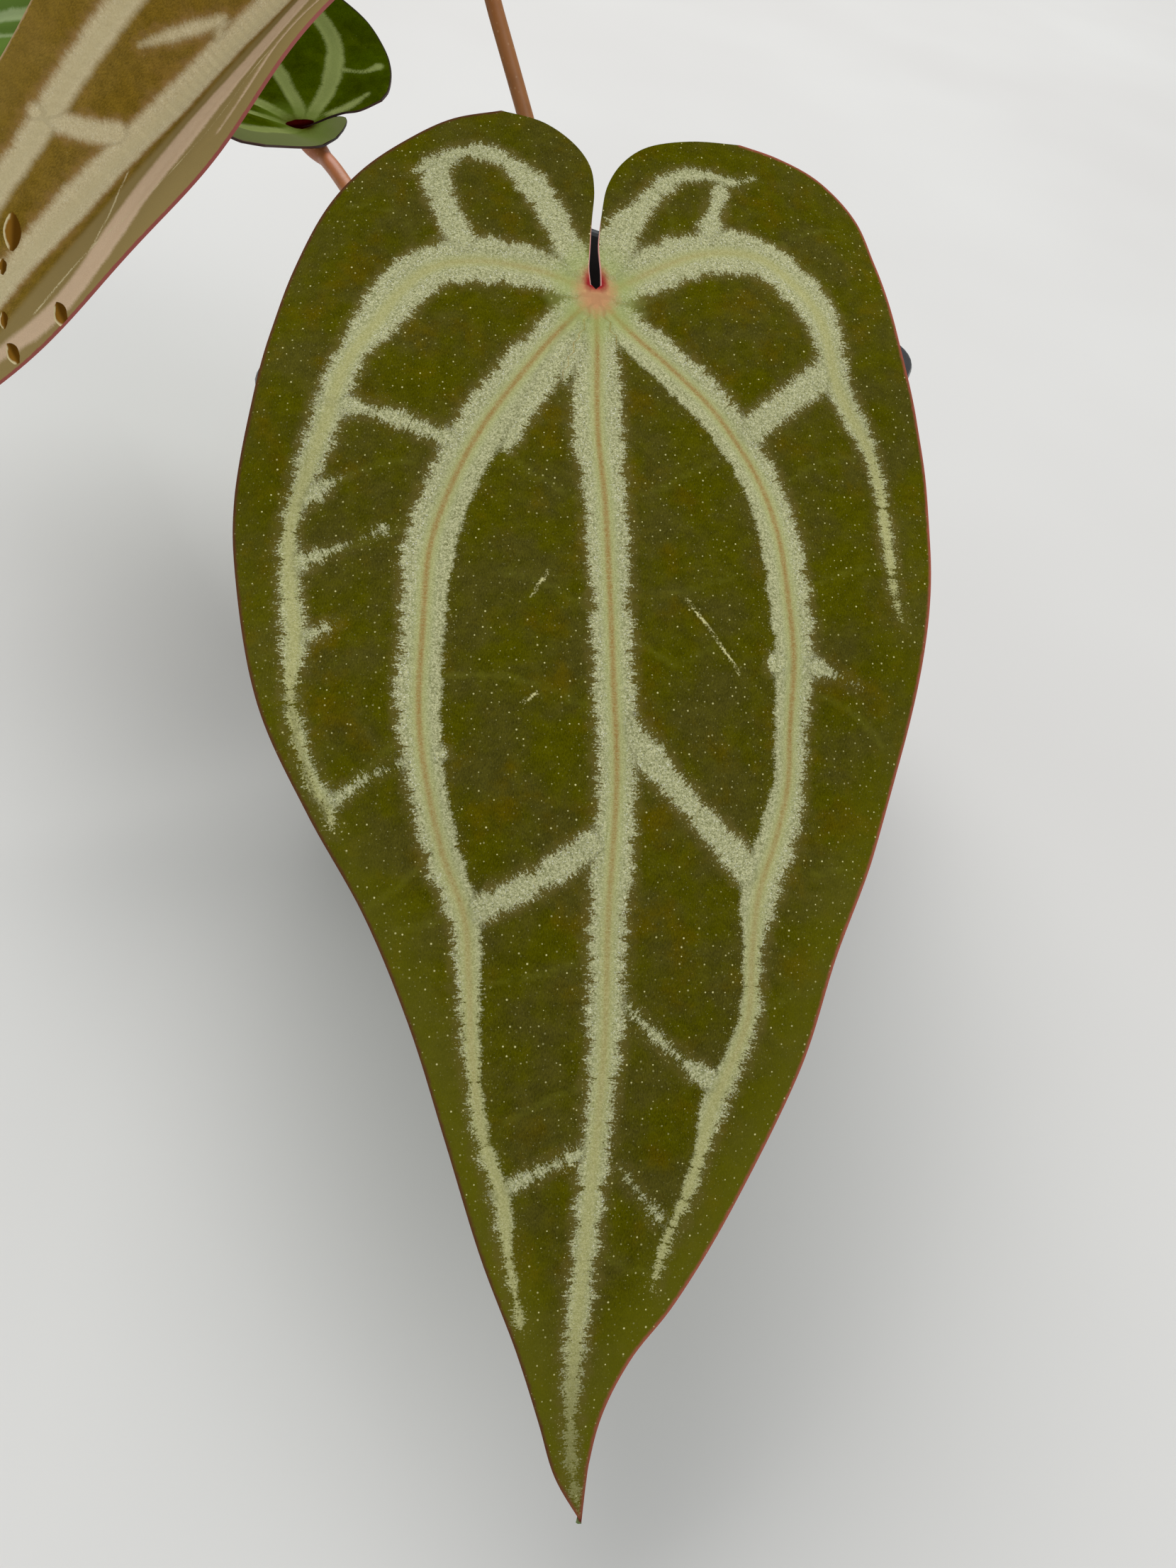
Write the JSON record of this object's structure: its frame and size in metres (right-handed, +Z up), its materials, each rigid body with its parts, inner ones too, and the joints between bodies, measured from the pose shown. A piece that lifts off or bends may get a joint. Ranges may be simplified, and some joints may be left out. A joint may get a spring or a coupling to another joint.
{
  "type": "potted anthurium hybrid",
  "caption": "Young anthurium hybrid with velvety heart-shaped leaves, silver-veined and hanging on thin stalks, rooted in bark mix in a square black nursery pot",
  "frame": {"origin": "middle of the flat underside of the pot, on the surface it stands on", "axes": "+Z up, X and Y along the pot's sides, -Y towards the side that the large leaf hangs over"},
  "size_m": [0.2968, 0.2344, 0.1901],
  "materials": {
    "pot_plastic": "satin black",
    "bark_mix": "rough crumbly",
    "crown_tissue": "fibrous matt",
    "petiole_skin": "satin",
    "leaf_green": "velvety with silver veins",
    "leaf_bronze": "velvety with pale veins",
    "leaf_dark_green": "velvety with pale veins"
  },
  "bodies": {
    "root": {"pot": "pot_plastic", "potting_mix": "bark_mix", "crown": "crown_tissue", "petiole_front": "petiole_skin", "petiole_bronze": "petiole_skin", "petiole_rear": "petiole_skin", "blade_front": "leaf_green", "blade_bronze": "leaf_bronze", "blade_rear": "leaf_dark_green"}
  },
  "joints": []
}
